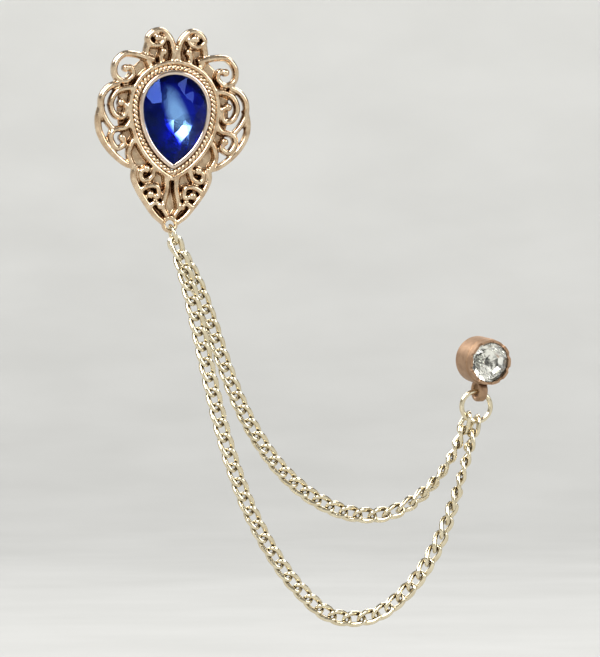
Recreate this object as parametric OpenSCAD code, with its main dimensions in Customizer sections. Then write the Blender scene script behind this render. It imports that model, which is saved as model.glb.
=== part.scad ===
// Lapel chain: a pierced brooch with a pear-cut stone, a small round stud and two strands of curb chain
// between them. Millimetres. The origin is where the brooch's post enters the cloth, +Z is up, the front
// faces -Y and +X is to the viewer's right.

/* [Blue stone] */
// Width of the pear-cut stone
stone_w = 10.4; // [9:0.1:11.5]
// Height of the pear-cut stone, from its round end to its point
stone_h = 14.3; // [13:0.1:16]
// Height of the crown above the girdle
crown_h = 1.5; // [1.2:0.1:2]
// Thickness of the girdle
girdle_t = 0.3; // [0.2:0.05:0.5]
// Depth of the pavilion below the girdle
pavilion_h = 1.6; // [1:0.1:2]

/* [Stone setting] */
// Thickness of the cup's wall
cup_wall = 0.5; // [0.4:0.05:0.8]
// Thickness of the cup's floor
cup_floor = 0.5; // [0.4:0.05:0.8]
// Thickness of the lip in front of the stone's girdle
lip_t = 0.25; // [0.2:0.05:0.4]
// How far the lip reaches over the stone's edge
lip_over = 0.15; // [0.1:0.05:0.3]
// Clearance round the stone
stone_gap = 0.1; // [0.05:0.01:0.15]

/* [Brooch frame] */
// Width of the frame
frame_w = 25.4; // [23:0.1:30]
// Height of the frame above the middle of the stone
frame_top = 15.2; // [14:0.1:18]
// Height of the frame below the middle of the stone, down to its tip
frame_tail = 17.8; // [16.5:0.1:20]
// Distance of the frame's flat back in front of the back of the stone setting
frame_back = 0.9; // [0.6:0.1:1.5]
// Width of a strand of the scrollwork
strand_w = 1.05; // [0.8:0.05:1.2]
// Height of a strand of the scrollwork
strand_h = 1.35; // [1:0.05:1.8]
// Thickness of the plate under the border
plate_t = 0.8; // [0.6:0.05:1.2]
// Thickness of the web behind the inner scrolls, the tail and the top curls
web_t = 0.45; // [0.4:0.05:0.5]
// How far the web reaches out from the plain ring
web_out = 1.6; // [1:0.1:2]
// Clearance between the border and the stone setting
border_gap = 0.08; // [0.05:0.01:0.15]
// Width across the rope of the border
rope_w = 0.95; // [0.7:0.05:1.2]
// Width of the plain ring outside the rope
ring_w = 0.8; // [0.6:0.05:1.2]
// Diameter of the eye at the tip
eye_d = 1.4; // [1.3:0.1:1.6]
// Width of metal round the eye
eye_rim = 0.6; // [0.5:0.05:0.9]
// Thickness of the metal round the eye
eye_t = 0.9; // [0.7:0.05:1]
// How far the brooch leans with its top to the right, in degrees
brooch_lean = 2; // [0:0.5:5]

/* [Rings] */
// Outer diameter of the ring at the brooch's tip
tip_ring_d = 3.6; // [3.5:0.1:4.2]
// Wire of the ring at the brooch's tip
tip_wire = 0.6; // [0.5:0.05:0.65]
// Swing of the ring at the brooch's tip to the right, in degrees
tip_swing = 18; // [0:1:25]
// Half the angle between the two strands on the ring at the brooch's tip
tip_spread = 25; // [23:1:27]
// Outer diameter of the ring below the stud
stud_ring_d = 5.6; // [5.5:0.1:7]
// Wire of the ring below the stud
stud_wire = 0.8; // [0.6:0.05:0.9]
// Swing of the ring below the stud to the left, in degrees
stud_swing = 12; // [0:1:20]
// Place of the strands on that ring, in degrees to the left of its lowest point
stud_hang = 20; // [10:1:30]
// Half the angle between the two strands on that ring
stud_spread = 19; // [18:1:20]

/* [Chains] */
// Wire of a curb link
link_wire = 0.6; // [0.5:0.01:0.62]
// Length of a curb link outside
link_l = 4.1; // [4.05:0.05:4.3]
// Width of a curb link outside
link_w = 2.65; // [2.6:0.05:2.8]
// Greatest pitch from one link to the next
link_pitch = 2.5; // [2.3:0.05:2.5]
// How far the upper strand sags below the straight line between its ends
upper_sag = 27.1; // [22:0.1:32]
// How far the lower strand sags below the straight line between its ends
lower_sag = 44.6; // [40:0.1:52]

/* [Stud] */
// Place of the middle of the stud's back to the right of the origin
stud_x = 51.2; // [45:0.1:56]
// Place of the middle of the stud's back behind the origin
stud_y = 3.1; // [1:0.1:5]
// Depth of the middle of the stud's back below the origin
stud_drop = 37.7; // [32:0.1:42]
// Turn of the stud to the right, in degrees
stud_yaw = 10; // [0:1:20]
// Tilt of the stud downwards, in degrees
stud_pitch = 6; // [0:1:10]
// Diameter of the drum
drum_d = 7.5; // [7:0.1:9]
// Depth of the drum
drum_h = 4.2; // [3.6:0.1:5]
// Rounding of the drum's edges
drum_edge = 0.45; // [0.3:0.05:0.6]
// Diameter of the crystal
crystal_d = 6.2; // [5.5:0.1:6.5]
// Height of the notched collar round the crystal
collar_h = 1.2; // [1:0.05:1.6]
// Thickness of the notched collar
collar_t = 0.4; // [0.3:0.05:0.5]
// Number of notches in the collar
notches = 10; // [6:1:14]
// Diameter of a notch
notch_d = 0.8; // [0.5:0.1:1.2]
// Diameter of the eyelet's hole
eyelet_hole = 2.1; // [2.05:0.05:2.2]
// Thickness of the eyelet's band
eyelet_wire = 0.75; // [0.6:0.05:0.8]
// Width of the eyelet's band
eyelet_w = 1.5; // [1.3:0.05:1.55]
// Distance of the eyelet in front of the stud's back
eyelet_out = 1.8; // [1.8:0.05:2.2]

/* [Posts] */
// Diameter of the posts
post_d = 1.1; // [0.9:0.05:1.4]
// Diameter of the pad that joins a post to its piece
pad_d = 4; // [3:0.1:5]
// Thickness of the pad
pad_t = 0.4; // [0.3:0.05:0.6]
// Room for the cloth between the pad and the clutch
cloth_t = 1.3; // [1:0.1:2.5]
// Diameter of the brooch's clutch
clutch_d = 9.6; // [8:0.1:11]
// Thickness of the brooch's clutch
clutch_t = 3.4; // [3:0.1:5]
// Diameter of the stud's clutch
stud_clutch_d = 4.2; // [4:0.1:8]
// Thickness of the stud's clutch
stud_clutch_t = 1.5; // [1.4:0.1:4]
// Rounding of a clutch's edges
clutch_edge = 0.5; // [0.3:0.05:0.6]
// How far the post's point reaches past the clutch
post_out = 0.7; // [0.5:0.1:2]

/* [Hidden] */

// Clearance between loose pieces
play = 0.1;
// Small clearance between pieces that rest on each other
seat = 0.05;
// Clearance between a strand's last link and the ring through it
hang_gap = 0.27;
// How far soldered parts run into each other
weld = 0.15;

// Pear outline: a round end and two side arcs that meet in a point
pear_r = stone_w / 2;
pear_c = stone_h / 2 - pear_r;
pear_l = stone_h - pear_r;
side_r = (pear_r * pear_r + pear_l * pear_l) / (2 * pear_r);

// Offsets from the stone's edge
cup_off = stone_gap + cup_wall;
hole_off = cup_off + border_gap;
rope_off = hole_off + rope_w / 2 - seat;
ring_off = hole_off + rope_w + ring_w / 2 - weld;
edge_off = ring_off + ring_w / 2;

// Heights above the back of the stone setting, which stands in front of the cloth by back_z
back_z = pad_t + seat;
pavilion_z = cup_floor + stone_gap;
girdle_z = pavilion_z + pavilion_h;
crown_z = girdle_z + girdle_t;
lip_z = crown_z + lip_t;
cup_h = lip_z + lip_t;
rope_z = frame_back + plate_t + 0.35 * rope_w;
ring_h = plate_t + 0.75 * rope_w;

// Cut of the stones: width of the table and of the corners between table and girdle as shares of the
// girdle, and height of those corners as a share of the crown
table_share = 0.56;
corner_share = 0.78;
corner_rise = 0.6;
// Width of the flat below the pavilion as a share of the girdle, for the pear-cut stone and the crystal
stone_keel = 0.35;
crystal_keel = 0.12;

// Eye and ring at the tip
eye_y = eye_rim + eye_d / 2 - frame_tail;
tip_ring_r = (tip_ring_d - tip_wire) / 2;

// Scrollwork of the right half, mirrored for the left one. Columns: route, height, bead at the end.
// A route's points are [angle from the top, share of the way from the border to the outline].
STROKES = [
    [[[3, 0], [2, 0.3], [4, 0.64], [9, 0.92], [15, 0.97], [20, 0.84], [18, 0.62], [12, 0.56], [9, 0.7],
      [13.5, 0.77]], 1.1, 1],
    [[[20, 0.76], [24, 0.54], [26, 0.33], [26, 0]], 0.95, 0],
    [[[14, 0], [14, 0.22], [11, 0.34]], 1.05, 1],
    [[[21, 0.2], [27, 0.4], [33, 0.65], [40, 0.92], [49, 0.97], [56, 0.76], [55, 0.4], [46, 0.27], [42, 0.46],
      [46, 0.6]], 1.15, 1],
    [[[59, 0.54], [66, 0.82], [75, 0.97], [84, 0.92], [93, 0.76], [102, 0.56]], 1.05, 0],
    [[[80, 0.92], [91, 1], [101, 0.97], [112, 0.83], [124, 0.64], [135, 0.47], [142, 0.32]], 0.85, 0],
    [[[54, 0], [59, 0.24], [67, 0.54], [78, 0.65], [88, 0.5], [89, 0.23], [77, 0.14], [75, 0.34]], 1.15, 1],
    [[[92, 0], [101, 0.2], [102, 0.56], [108, 0.68], [118, 0.58], [118, 0.36], [111, 0.37]], 1.1, 1],
    [[[116, 0], [122, 0.18], [129, 0.33], [139, 0.36]], 0.95, 0],
    [[[159, 0], [160, 0.22], [154, 0.38], [149, 0.3], [152, 0.17]], 1.1, 1],
    [[[142, 0.3], [147, 0.48], [156, 0.58], [165, 0.69], [171, 0.8], [176, 0.88]], 0.9, 0],
    [[[174, 0], [176, 0.22], [175, 0.46], [175, 0.62], [178, 0.76]], 1, 0],
    [[[156, 0.56], [161, 0.38], [168, 0.3], [170, 0.46], [164, 0.5]], 1.1, 1],
    [[[166, 0.7], [169, 0.58], [173, 0.6]], 1, 1],
];
// Outline of the web in a top curl, behind its strokes, and down the side of the tail
TOP_WEB = [[4, -0.2], [2.2, 0.3], [4.2, 0.64], [9.1, 0.91], [15, 0.96], [19.8, 0.83], [23.8, 0.54],
           [25.8, 0.33], [25, -0.2]];
TAIL_WEB = [[139, 0.14], [147.1, 0.47], [156.1, 0.57], [165, 0.68], [171, 0.79], [176.5, 0.86]];
// Steps between two points of a stroke's route, round the web, round the plain ring and round the rope
STROKE_STEPS = 2;
WEB_STEPS = 36;
RING_STEPS = 48;
ROPE_STEPS = 64;
// Share of its width that a stroke loses towards its end
STROKE_TAPER = 0.18;
// Bead at a stroke's end. Rows: share of a strand's width, share of its height.
BEAD = [[1.25, 0.7], [0.6, 1.15]];

// Routes of the strands. Columns: share of the span, share of the sag.
UPPER_ROUTE = [[0.071, 0.143], [0.122, 0.324], [0.167, 0.515], [0.219, 0.694], [0.286, 0.844],
               [0.371, 0.953], [0.479, 1.001], [0.607, 0.962], [0.745, 0.815], [0.864, 0.568],
               [0.951, 0.284]];
LOWER_ROUTE = [[0.039, 0.133], [0.073, 0.271], [0.106, 0.41], [0.141, 0.546], [0.184, 0.676],
               [0.238, 0.794], [0.308, 0.893], [0.396, 0.969], [0.509, 0.999], [0.65, 0.912],
               [0.768, 0.743], [0.853, 0.556], [0.911, 0.369], [0.955, 0.185]];
// Distance of each strand in front of or behind the middle plane, near the brooch's and near the stud's ring
tip_side = 1.2;
stud_side = 1.2;

// Stud
crystal_crown = 1.4;
crystal_girdle = 0.2;
crystal_z = drum_h + collar_h - 0.35;
eyelet_r = (eyelet_hole + eyelet_wire) / 2;
eyelet_y = 2 * weld - drum_d / 2 - eyelet_r;
stud_ring_r = (stud_ring_d - stud_wire) / 2;

function unit(v) = v / norm(v);

// Point of a spline through the list P, at share t of its span number i
function spline_at(P, i, t) =
    let (n = len(P) - 1,
         a = i == 0 ? 2 * P[0] - P[1] : P[i - 1],
         b = P[i],
         c = P[i + 1],
         d = i + 2 > n ? 2 * P[n] - P[n - 1] : P[i + 2])
    (2 * b + (c - a) * t + (2 * a - 5 * b + 4 * c - d) * t * t + (3 * b - a - 3 * c + d) * t * t * t) / 2;

// Spline through the list P with the given number of steps in each span
function spline(P, steps) =
    [for (i = [0:len(P) - 2], j = [0:steps - 1]) spline_at(P, i, j / steps), P[len(P) - 1]];

// Distance from the middle of the stone to its outline moved out by off, at an angle from the top
function pear_edge(angle, off) =
    let (s = sin(abs(angle)),
         c = cos(angle),
         side = side_r - pear_r,
         b = s * side - c * pear_c,
         far = -b + sqrt(b * b - side * side - pear_c * pear_c + pow(side_r + off, 2)),
         near = c * pear_c + sqrt(pow(c * pear_c, 2) - pear_c * pear_c + pow(pear_r + off, 2)))
    far * c > pear_c ? near : far;

// Distance from the middle of the stone to the frame's outline, at an angle from the top
function outline_edge(angle) =
    let (side = (frame_w - strand_w) / 2,
         end = cos(angle) > 0 ? frame_top - strand_w / 2 : frame_tail - strand_w / 2)
    1 / sqrt(pow(sin(angle) / side, 2) + pow(cos(angle) / end, 2));

// Point of the band between the border and the outline
function band(p) =
    let (r = (1 - p[1]) * pear_edge(p[0], ring_off) + p[1] * outline_edge(p[0]))
    [r * sin(p[0]), r * cos(p[0])];

// Directions to the side of a flat path
function sides_of(P, closed) =
    let (n = len(P))
    [for (i = [0:n - 1])
        let (d = P[closed ? (i + 1) % n : min(i + 1, n - 1)] - P[closed ? (i + n - 1) % n : max(i - 1, 0)])
        unit([d[1], -d[0]])];

// Triangles of a tube of rings rings with m points each, whose points start at number first
function tube_faces(rings, m, closed, first = 0) = concat(
    [for (i = [0:rings - (closed ? 1 : 2)], k = [0:m - 1], h = [0, 1])
        let (a = first + i * m + k,
             b = first + i * m + (k + 1) % m,
             c = first + ((i + 1) % rings) * m + (k + 1) % m,
             d = first + ((i + 1) % rings) * m + k)
        h == 0 ? [a, b, c] : [a, c, d]],
    closed ? [] : [[for (k = [m - 1:-1:0]) first + k], [for (k = [0:m - 1]) first + (rings - 1) * m + k]]);

// Outline of a strand's section, flat at the back and bevelled in front. Columns: side, height.
STRAND_SECTION = [[-1, 0], [1, 0], [0.45, 1], [-0.45, 1]];

module strand(path, width, height, closed = false) {
    sides = sides_of(path, closed);
    taper = closed ? 0 : STROKE_TAPER / (len(path) - 1);
    polyhedron(
        points = [for (i = [0:len(path) - 1], q = STRAND_SECTION)
            let (p = path[i] + sides[i] * q[0] * width / 2 * (1 - taper * i))
            [p[0], p[1], q[1] * height]],
        faces = tube_faces(len(path), len(STRAND_SECTION), closed));
}

// Twisted rope along a closed path
module rope(path, width) {
    sides = sides_of(path, true);
    polyhedron(
        points = [for (i = [0:len(path) - 1], k = [0:3])
            let (a = 90 * k + 45 * i, r = width / 2)
            [path[i][0] + sides[i][0] * r * cos(a), path[i][1] + sides[i][1] * r * cos(a), r * sin(a)]],
        faces = tube_faces(len(path), 4, true));
}

// Closed path along the pear's outline moved out by off, in count steps of equal angle
function pear_path(off, count) =
    [for (i = [0:count - 1])
        let (a = 360 * i / count)
        pear_edge(a > 180 ? a - 360 : a, off) * [sin(a), cos(a)]];

module pear(off) {
    big = 2 * stone_h;
    translate([0, pear_c]) {
        intersection() {
            circle(pear_r + off, $fn = 64);
            translate([-big, 0]) square([2 * big, big]);
        }
        intersection() {
            translate([pear_r - side_r, 0]) circle(side_r + off, $fn = 120);
            translate([side_r - pear_r, 0]) circle(side_r + off, $fn = 120);
            translate([-big, -big]) square([2 * big, big]);
        }
    }
}

// Stands a piece drawn flat on the brooch's plane, with its front towards -Y
module on_brooch() {
    rotate([90, brooch_lean, 0]) translate([0, 0, back_z]) children();
}

function brooch_point(p) = [
    p[0] * cos(brooch_lean) + p[1] * sin(brooch_lean),
    -p[2] - back_z,
    p[1] * cos(brooch_lean) - p[0] * sin(brooch_lean)];

// Stands a piece drawn flat on the stud's plane
module on_stud() {
    translate([stud_x, stud_y, -stud_drop]) rotate([90 + stud_pitch, 0, stud_yaw]) children();
}

function stud_point(p) =
    let (y = -p[2] * cos(stud_pitch) - p[1] * sin(stud_pitch))
    [stud_x + p[0] * cos(stud_yaw) - y * sin(stud_yaw),
     stud_y + p[0] * sin(stud_yaw) + y * cos(stud_yaw),
     -stud_drop + p[1] * cos(stud_pitch) - p[2] * sin(stud_pitch)];

// Web that closes the back of the inner scrolls, the tail and the top curls. The rest stays pierced.
module web() {
    linear_extrude(web_t) {
        polygon(pear_path(edge_off + web_out, WEB_STEPS));
        for (m = [0, 1]) mirror([m, 0]) {
            polygon([[0, 0], for (p = TAIL_WEB) band(p), [0, eye_y + eye_d]]);
            polygon(spline([for (p = TOP_WEB) band(p)], 2));
        }
    }
}

module filigree_frame() {
    color("burlywood") on_brooch() difference() {
        union() {
            translate([0, 0, frame_back - web_t]) web();
            translate([0, 0, frame_back]) {
                linear_extrude(plate_t) pear(edge_off - weld);
                strand(pear_path(ring_off, RING_STEPS), ring_w, ring_h, true);
                for (m = [0, 1], row = STROKES) mirror([m, 0, 0]) {
                    route = spline([for (p = row[0]) band(p)], STROKE_STEPS);
                    strand(route, strand_w, strand_h * row[1]);
                    if (row[2] == 1) translate(route[len(route) - 1]) hull()
                        for (b = BEAD) cylinder(h = strand_h * row[1] * b[1], d = strand_w * b[0], $fn = 8);
                }
                translate([0, eye_y, 0]) cylinder(h = eye_t, d = eye_d + 2 * eye_rim, $fn = 24);
            }
            translate([0, 0, rope_z]) rope(pear_path(rope_off, ROPE_STEPS), rope_w);
        }
        linear_extrude(3 * cup_h) pear(hole_off);
        translate([0, eye_y, 0]) cylinder(h = 3 * cup_h, d = eye_d, $fn = 24);
    }
}

module stone_setting() {
    color("gold") on_brooch() difference() {
        linear_extrude(cup_h) pear(cup_off);
        translate([0, 0, cup_floor]) linear_extrude(lip_z - cup_floor) pear(stone_gap);
        translate([0, 0, cup_floor]) linear_extrude(2 * cup_h) pear(-lip_over);
    }
}

// Cut stone on an outline with an even number of points, with half as many corners at its table. The
// pavilion starts at bottom, the girdle reaches from low to high and the table lies at top.
module brilliant(outline, keel, bottom, low, high, top) {
    n = len(outline);
    half = n / 2;
    corner_z = high + corner_rise * (top - high);
    points = concat(
        [for (p = outline) [p[0] * keel, p[1] * keel, bottom]],
        [for (p = outline) [p[0], p[1], low]],
        [for (p = outline) [p[0], p[1], high]],
        [for (i = [0:half - 1])
            let (p = outline[2 * i] * corner_share)
            [p[0], p[1], corner_z]],
        [for (i = [0:half - 1])
            let (p = outline[2 * i + 1] * table_share)
            [p[0], p[1], top]]);
    polyhedron(points = points, faces = concat(
        [[for (i = [n - 1:-1:0]) i]],
        [for (s = [0, 1], i = [0:n - 1]) each [
            [s * n + i, s * n + (i + 1) % n, (s + 1) * n + (i + 1) % n],
            [s * n + i, (s + 1) * n + (i + 1) % n, (s + 1) * n + i]]],
        [for (i = [0:half - 1]) each [
            [2 * n + 2 * i, 2 * n + 2 * i + 1, 3 * n + i],
            [2 * n + 2 * i + 1, 2 * n + (2 * i + 2) % n, 3 * n + (i + 1) % half],
            [2 * n + 2 * i + 1, 3 * n + (i + 1) % half, 3 * n + half + i],
            [2 * n + 2 * i + 1, 3 * n + half + i, 3 * n + i],
            [3 * n + i, 3 * n + half + i, 3 * n + half + (i + half - 1) % half]]],
        [[for (i = [0:half - 1]) 3 * n + half + i]]));
}

module blue_stone() {
    outline = [for (i = [0:23]) let (a = -15 * i) pear_edge(a < -180 ? a + 360 : a, 0) * [sin(a), cos(a)]];
    color("mediumblue") on_brooch()
        brilliant(outline, stone_keel, pavilion_z, girdle_z, crown_z, crown_z + crown_h);
}

module brooch_pin() {
    color("goldenrod") on_brooch() mirror([0, 0, 1]) translate([0, 0, seat]) post(clutch_d, clutch_t);
}

// Pad, post and clutch of the given diameter and thickness in one plain piece, drawn upwards from the pad
module post(diameter, thickness) {
    back = pad_t + cloth_t;
    side = diameter / 2 - clutch_edge;
    rotate_extrude($fn = 64) union() {
        square([pad_d / 2, pad_t]);
        square([post_d / 2, back + thickness + post_out]);
        translate([0, back]) {
            square([side, thickness]);
            translate([0, clutch_edge]) square([diameter / 2, thickness - 2 * clutch_edge]);
            for (z = [clutch_edge, thickness - clutch_edge])
                translate([side, z]) circle(clutch_edge, $fn = 32);
        }
    }
}

module ring(diameter, wire) {
    rotate_extrude($fn = 64) translate([(diameter - wire) / 2, 0]) circle(d = wire, $fn = 32);
}

// The ring at the tip hangs through the eye, edge-on to the front
tip_dir = [sin(tip_swing), 0, -cos(tip_swing)];
tip_ring_at = brooch_point([0, eye_y, frame_back + eye_t / 2])
    + tip_dir * (eye_d / 2 - tip_wire / 2 - 2.5 * play + tip_ring_r);

// Middle of the wire of the ring at the tip where a strand hangs. side is -1 in front and 1 behind.
function tip_hold(side) =
    tip_ring_at + tip_ring_r * (cos(tip_spread) * tip_dir + [0, side * sin(tip_spread), 0]);

module brooch_ring() {
    color("khaki") translate(tip_ring_at) rotate([0, 90 - tip_swing, 0]) ring(tip_ring_d, tip_wire);
}

// The ring below the stud hangs in the eyelet and faces the front
stud_ring_at = stud_point([0, eyelet_y, eyelet_out])
    - [sin(stud_swing), 0, cos(stud_swing)] * (eyelet_hole / 2 - stud_wire / 2 - 4 * play + stud_ring_r);

// Middle of the wire of the ring below the stud where a strand hangs. side is 1 to the left, -1 to the right.
function stud_hold(side) =
    let (a = stud_hang + side * stud_spread)
    stud_ring_at - stud_ring_r * [sin(a), 0, cos(a)];

module stud_ring() {
    color("khaki") translate(stud_ring_at) rotate([90, 0, 0]) ring(stud_ring_d, stud_wire);
}

module stud_cup() {
    color("rosybrown") on_stud() {
        difference() {
            union() {
                rotate_extrude($fn = 96) {
                    square([drum_d / 2 - drum_edge, drum_h]);
                    translate([0, drum_edge]) square([drum_d / 2, drum_h - 2 * drum_edge]);
                    for (z = [drum_edge, drum_h - drum_edge])
                        translate([drum_d / 2 - drum_edge, z]) circle(drum_edge, $fn = 32);
                }
                cylinder(h = drum_h + collar_h, d = crystal_d + 2 * play + 2 * collar_t, $fn = 96);
                translate([0, eyelet_y, eyelet_out]) rotate([0, 90, 0]) rotate_extrude($fn = 64)
                    translate([eyelet_r, 0]) {
                        square([eyelet_wire, eyelet_w - eyelet_wire], center = true);
                        for (z = [-1, 1]) translate([0, z * (eyelet_w - eyelet_wire) / 2])
                            circle(d = eyelet_wire, $fn = 32);
                    }
            }
            translate([0, 0, cup_floor]) cylinder(h = 2 * drum_h, d = crystal_d + 2 * play, $fn = 96);
            for (i = [0:notches - 1]) rotate([0, 0, 360 * (i + 0.5) / notches])
                translate([crystal_d / 2 - collar_t, 0, drum_h + collar_h]) rotate([0, 90, 0])
                    cylinder(h = drum_d, d = notch_d, $fn = 24);
        }
    }
}

module crystal() {
    outline = [for (i = [0:15]) let (a = -22.5 * i) crystal_d / 2 * [sin(a), cos(a)]];
    color("azure") on_stud()
        brilliant(outline, crystal_keel, cup_floor + play, crystal_z - crystal_girdle, crystal_z,
                  crystal_z + crystal_crown);
}

module stud_pin() {
    color("goldenrod") on_stud() mirror([0, 0, 1]) translate([0, 0, seat]) post(stud_clutch_d, stud_clutch_t);
}

// Curb link: half axes of its centre line, its squareness and how far each end is turned about its length
link_a = (link_l - link_wire) / 2;
link_b = (link_w - link_wire) / 2;
link_round = 0.75;
LINK_TURN = 46;
LINK_STEPS = 10;
WIRE_SIDES = 5;
// Number of links over which a strand turns edge-on before it reaches the stud's ring
ROLL_LINKS = 12;

// Centre line of a link, whose ends are turned by first and last degrees about its length
function link_line(t, first, last) =
    let (x = sign(cos(t)) * pow(abs(cos(t)), link_round),
         y = sign(sin(t)) * pow(abs(sin(t)), link_round),
         turn = first + (last - first) * (x + 1) / 2)
    [link_a * x, link_b * y * cos(turn), link_b * y * sin(turn)];

// Points of a link at the place at, along the directions along, across and through
function link_points(at, along, across, through, first, last) =
    [for (i = [0:LINK_STEPS - 1])
        let (t = 360 * (i + 0.5) / LINK_STEPS,
             c = link_line(t, first, last),
             tangent = unit(link_line(t + 1, first, last) - link_line(t - 1, first, last)),
             out = unit(c - tangent * (c * tangent)),
             up = cross(tangent, out))
        for (k = [0:WIRE_SIDES - 1])
            let (a = 360 * k / WIRE_SIDES,
                 p = c + link_wire / 2 * (out * cos(a) + up * sin(a)))
            at + along * p[0] + across * p[1] + through * p[2]];

// Lengths along a list of points
function lengths(P) = [for (i = 0, s = 0; i < len(P); s = s + (i + 1 < len(P) ? norm(P[i + 1] - P[i]) : 0),
                            i = i + 1) s];

function share(x) = min(max(x, 0), 1);
function ease(x) = let (t = share(x)) t * t * (3 - 2 * t);

// Place on a strand's route at a length, from the tables of length against each coordinate
function place(tables, s) = [for (k = [0:2]) lookup(s, tables[k])];

// Strand between the wires of two rings. side is -1 for the strand in front at the brooch, 1 for the other.
module chain(table, sag, side) {
    start = tip_hold(side);
    end = stud_hold(side);
    from_hold = tip_side - tip_ring_r * sin(tip_spread);
    knots = concat([start],
        [for (q = table)
            let (p = start + (end - start) * q[0])
            p + [0, side * (from_hold * (1 - q[0]) + stud_side * q[0]), -sag * q[1]]],
        [end]);
    route = spline(knots, 6);
    s = lengths(route);
    total = s[len(s) - 1];
    tables = [for (k = [0:2]) [for (i = [0:len(s) - 1]) [s[i], route[i][k]]]];
    slack = link_a - link_wire / 2 - hang_gap;
    reach_start = slack - tip_wire / 2;
    reach_end = slack - stud_wire / 2;
    free = total - reach_start - reach_end;
    count = ceil(free / link_pitch) + 1;
    pitch = free / (count - 1);
    points = [for (i = [0:count - 1])
        let (m = reach_start + i * pitch,
             at = place(tables, m),
             along = unit(place(tables, min(m + pitch / 2, total)) - place(tables, max(m - pitch / 2, 0))),
             flat = unit(cross(along, [0, -1, 0])),
             face = cross(flat, along),
             roll = -90 * ease(1 - (count - 1 - i) / ROLL_LINKS),
             across = flat * cos(roll) + face * sin(roll),
             through = face * cos(roll) - flat * sin(roll))
        each link_points(at, along, across, through,
                         i == 0 ? 0 : -LINK_TURN, i == count - 1 ? 0 : LINK_TURN)];
    size = LINK_STEPS * WIRE_SIDES;
    polyhedron(points = points,
        faces = [for (i = [0:count - 1]) each tube_faces(LINK_STEPS, WIRE_SIDES, true, i * size)]);
}

module chain_upper() {
    color("palegoldenrod") chain(UPPER_ROUTE, upper_sag, 1);
}

module chain_lower() {
    color("palegoldenrod") chain(LOWER_ROUTE, lower_sag, -1);
}

filigree_frame();
stone_setting();
blue_stone();
brooch_pin();
brooch_ring();
chain_upper();
chain_lower();
stud_ring();
stud_cup();
crystal();
stud_pin();
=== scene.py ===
"""Looks of the lapel chain: fine metalwork, cut stones, materials, floor, light and camera.

Lengths are in millimetres, as in the part's source, and angles in degrees. Each mesh is scaled to metres
when it is made. The floor, the lights and the camera are placed in metres.
"""

import math

import bmesh
import bpy
import numpy as np
from mathutils import Matrix, Vector


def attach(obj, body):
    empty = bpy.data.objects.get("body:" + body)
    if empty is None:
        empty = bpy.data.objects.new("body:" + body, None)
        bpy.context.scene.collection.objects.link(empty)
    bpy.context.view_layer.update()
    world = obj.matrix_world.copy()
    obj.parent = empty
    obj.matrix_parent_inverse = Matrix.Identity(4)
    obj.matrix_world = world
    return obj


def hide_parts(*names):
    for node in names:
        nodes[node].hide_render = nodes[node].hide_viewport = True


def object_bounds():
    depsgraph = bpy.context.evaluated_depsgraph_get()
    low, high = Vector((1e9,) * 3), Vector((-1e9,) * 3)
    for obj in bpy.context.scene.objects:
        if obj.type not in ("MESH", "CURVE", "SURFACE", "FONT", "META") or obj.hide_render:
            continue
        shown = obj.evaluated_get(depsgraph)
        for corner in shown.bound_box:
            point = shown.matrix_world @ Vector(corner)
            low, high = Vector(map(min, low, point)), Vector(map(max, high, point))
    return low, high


MM = 0.001

# Sizes, angles, counts and shares of the part's source
STONE_W, STONE_H, CROWN_H, GIRDLE_T, PAVILION_H = 10.4, 14.3, 1.5, 0.3, 1.6
CUP_WALL, CUP_FLOOR, STONE_GAP, LIP_T, LIP_OVER = 0.5, 0.5, 0.1, 0.25, 0.15
FRAME_W, FRAME_TOP, FRAME_TAIL, FRAME_BACK = 25.4, 15.2, 17.8, 0.9
STRAND_W, STRAND_H, PLATE_T, BORDER_GAP = 1.05, 1.35, 0.8, 0.08
WEB_T, WEB_OUT = 0.45, 1.6
ROPE_W, RING_W, EYE_D, EYE_RIM, EYE_T, LEAN = 0.95, 0.8, 1.4, 0.6, 0.9, 2.0
TIP_RING_D, TIP_WIRE, TIP_SWING, TIP_SPREAD = 3.6, 0.6, 18.0, 25.0
STUD_RING_D, STUD_WIRE, STUD_SWING, STUD_HANG, STUD_SPREAD = 5.6, 0.8, 12.0, 20.0, 19.0
LINK_WIRE, LINK_L, LINK_W, LINK_PITCH = 0.6, 4.1, 2.65, 2.5
STUD_AT, STUD_YAW, STUD_PITCH = (51.2, 3.1, -37.7), 10.0, 6.0
DRUM_D, DRUM_H, CRYSTAL_D, COLLAR_H = 7.5, 4.2, 6.2, 1.2
CRYSTAL_CROWN, CRYSTAL_GIRDLE, CRYSTAL_SINK = 1.4, 0.2, 0.35
EYELET_HOLE, EYELET_WIRE, EYELET_OUT = 2.1, 0.75, 1.8
PAD_T, PLAY, SEAT, WELD, HANG_GAP = 0.4, 0.1, 0.05, 0.15, 0.27
TIP_SIDE, STUD_SIDE = 1.2, 1.2
LINK_ROUND, LINK_TURN, ROLL_LINKS = 0.75, 46.0, 12
STROKE_TAPER = 0.18
ROPE_SINK, RING_RISE = 0.35, 0.75
TIP_CLEAR, STUD_CLEAR = 2.5 * PLAY, 4 * PLAY

# Fuller strokes and links within the same outlines, and how far the strokes stay inside theirs
STROKE_W, LINK_ROD, LINK_FILL = 1.16, 0.65, 0.2
INSET = 0.04

# Points or steps of the curves and round forms. BEAD_TURN is the angle between the steps of a bead's cap.
PEAR_STEPS, WEB_STEPS, RING_STEPS, CUP_STEPS = 720, 120, 160, 200
ARCH_STEPS, STROKE_STEPS, CURL_STEPS, ROUTE_STEPS = 8, 7, 4, 6
BEAD_STEPS, BEAD_TURN, EYE_STEPS = 16, 15, 48
ROPE_STEPS, ROPE_SIDES, LINK_STEPS, LINK_SIDES = 720, 8, 36, 10

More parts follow.
